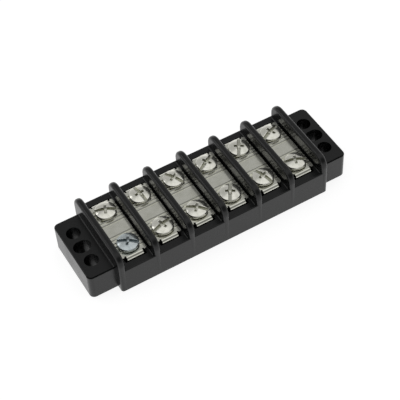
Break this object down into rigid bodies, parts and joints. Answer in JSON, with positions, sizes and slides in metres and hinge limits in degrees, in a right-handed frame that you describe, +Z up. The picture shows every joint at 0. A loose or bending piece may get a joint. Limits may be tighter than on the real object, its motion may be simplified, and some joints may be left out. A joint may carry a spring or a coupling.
{
  "type": "barrier terminal strip",
  "caption": "Double-row barrier terminal strip with tall insulating barriers, combination-drive binding-head screws on bent terminal plates, and a drilled mounting ear at each end.",
  "frame": {"origin": "centre of the underside, midway between the ears and between the two long faces", "axes": "+X along the row of circuits, from the first circuit to the last; -Y towards the front row of screws; +Z up out of the mounting surface"},
  "size_m": [0.1096, 0.036, 0.0181],
  "materials": {
    "black_phenolic_moulding": "moulded, semi-gloss black",
    "nickel_plated_brass_plate": "nickel plated, stamped",
    "nickel_plated_steel_screw": "nickel plated",
    "zinc_plated_steel_screw": "clear zinc plated"
  },
  "bodies": {
    "strip": {"housing": "black_phenolic_moulding", "terminal_plate_1": "nickel_plated_brass_plate", "terminal_plate_2": "nickel_plated_brass_plate", "terminal_plate_3": "nickel_plated_brass_plate", "terminal_plate_4": "nickel_plated_brass_plate", "terminal_plate_5": "nickel_plated_brass_plate", "terminal_plate_6": "nickel_plated_brass_plate"},
    "front_screw_1": {"front_screw_1": "zinc_plated_steel_screw"},
    "front_screw_2": {"front_screw_2": "nickel_plated_steel_screw"},
    "front_screw_3": {"front_screw_3": "nickel_plated_steel_screw"},
    "front_screw_4": {"front_screw_4": "nickel_plated_steel_screw"},
    "front_screw_5": {"front_screw_5": "nickel_plated_steel_screw"},
    "front_screw_6": {"front_screw_6": "nickel_plated_steel_screw"},
    "rear_screw_1": {"rear_screw_1": "nickel_plated_steel_screw"},
    "rear_screw_2": {"rear_screw_2": "nickel_plated_steel_screw"},
    "rear_screw_3": {"rear_screw_3": "nickel_plated_steel_screw"},
    "rear_screw_4": {"rear_screw_4": "nickel_plated_steel_screw"},
    "rear_screw_5": {"rear_screw_5": "nickel_plated_steel_screw"},
    "rear_screw_6": {"rear_screw_6": "nickel_plated_steel_screw"}
  },
  "joints": [
    {"name": "front_screw_1_travel", "type": "slide", "parent": "strip", "child": "front_screw_1", "axis": [0, 0, 1], "range_m": [-0.00043, 0.003]},
    {"name": "front_screw_2_travel", "type": "slide", "parent": "strip", "child": "front_screw_2", "axis": [0, 0, 1], "range_m": [-0.00043, 0.003]},
    {"name": "front_screw_3_travel", "type": "slide", "parent": "strip", "child": "front_screw_3", "axis": [0, 0, 1], "range_m": [-0.00043, 0.003]},
    {"name": "front_screw_4_travel", "type": "slide", "parent": "strip", "child": "front_screw_4", "axis": [0, 0, 1], "range_m": [-0.00043, 0.003]},
    {"name": "front_screw_5_travel", "type": "slide", "parent": "strip", "child": "front_screw_5", "axis": [0, 0, 1], "range_m": [-0.00043, 0.003]},
    {"name": "front_screw_6_travel", "type": "slide", "parent": "strip", "child": "front_screw_6", "axis": [0, 0, 1], "range_m": [-0.00043, 0.003]},
    {"name": "rear_screw_1_travel", "type": "slide", "parent": "strip", "child": "rear_screw_1", "axis": [0, 0, 1], "range_m": [-0.00043, 0.003]},
    {"name": "rear_screw_2_travel", "type": "slide", "parent": "strip", "child": "rear_screw_2", "axis": [0, 0, 1], "range_m": [-0.00043, 0.003]},
    {"name": "rear_screw_3_travel", "type": "slide", "parent": "strip", "child": "rear_screw_3", "axis": [0, 0, 1], "range_m": [-0.00043, 0.003]},
    {"name": "rear_screw_4_travel", "type": "slide", "parent": "strip", "child": "rear_screw_4", "axis": [0, 0, 1], "range_m": [-0.00043, 0.003]},
    {"name": "rear_screw_5_travel", "type": "slide", "parent": "strip", "child": "rear_screw_5", "axis": [0, 0, 1], "range_m": [-0.00043, 0.003]},
    {"name": "rear_screw_6_travel", "type": "slide", "parent": "strip", "child": "rear_screw_6", "axis": [0, 0, 1], "range_m": [-0.00043, 0.003]}
  ]
}
